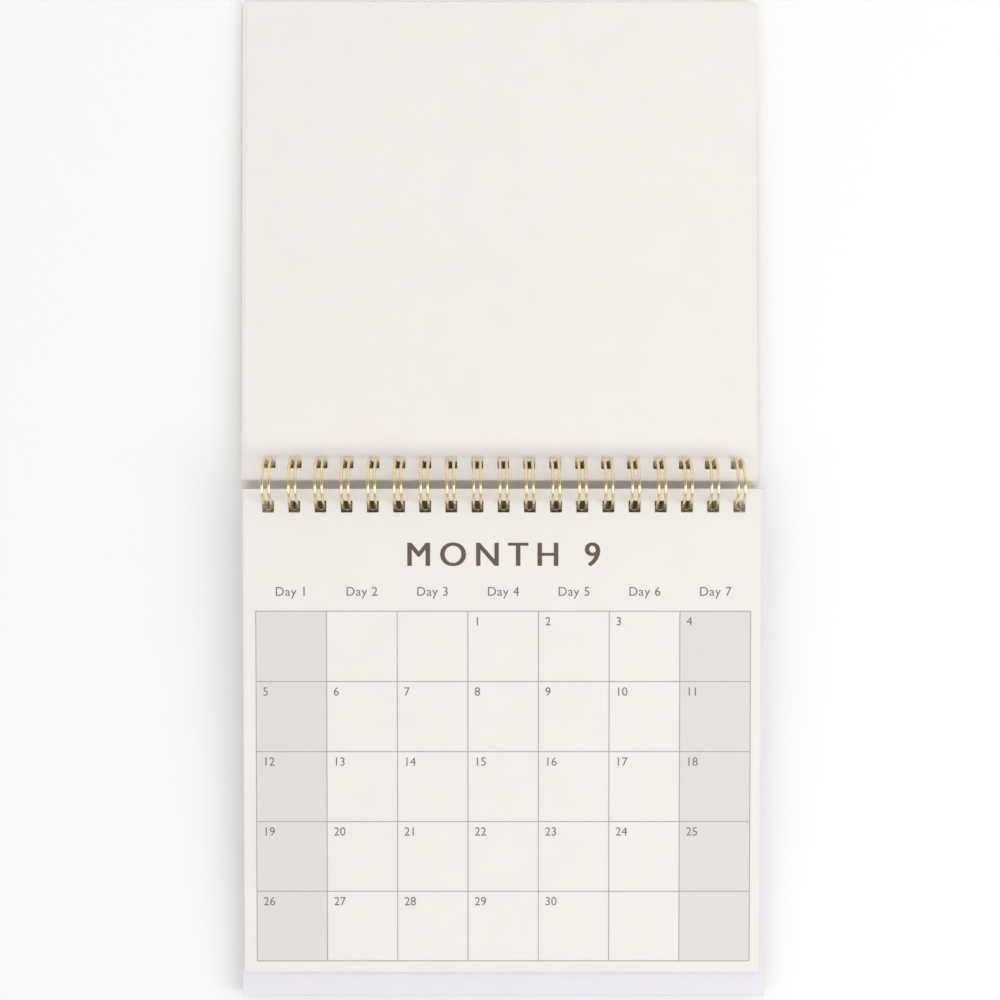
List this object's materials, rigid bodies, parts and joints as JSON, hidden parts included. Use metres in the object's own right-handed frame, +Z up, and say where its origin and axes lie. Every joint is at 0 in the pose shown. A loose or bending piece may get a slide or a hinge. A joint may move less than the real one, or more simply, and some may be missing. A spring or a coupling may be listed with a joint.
{
  "type": "desk calendar",
  "caption": "Wire-bound desk calendar lying open: month page on a board easel folded flat, with the earlier leaves and cover turned over a gold twin-loop wire.",
  "frame": {"origin": "middle of the footprint, on the table", "axes": "+X along the wire binding, +Y from the foot of the page towards the turned leaves, +Z up"},
  "size_m": [0.1704, 0.3268, 0.0175],
  "materials": {
    "gold_wire": "pale gold coating on steel wire, satin",
    "page_paper": "uncoated warm white paper",
    "cover_card": "uncoated warm white card",
    "easel_board": "smooth cool white lined board"
  },
  "bodies": {
    "easel": {"easel_stand": "easel_board", "wire_binding": "gold_wire"},
    "pages": {"page_block": "page_paper"},
    "turned_pages": {"turned_leaves": "page_paper", "cover_sheet": "cover_card"}
  },
  "joints": [
    {"name": "page_turn", "type": "hinge", "parent": "easel", "child": "pages", "pos_m": [0, 0.004, 0.00875], "axis": [-1, 0, 0], "range_deg": [0, 182.8]},
    {"name": "cover_turn", "type": "hinge", "parent": "easel", "child": "turned_pages", "pos_m": [0, 0.004, 0.00875], "axis": [1, 0, 0], "range_deg": [0, 182.8]}
  ]
}
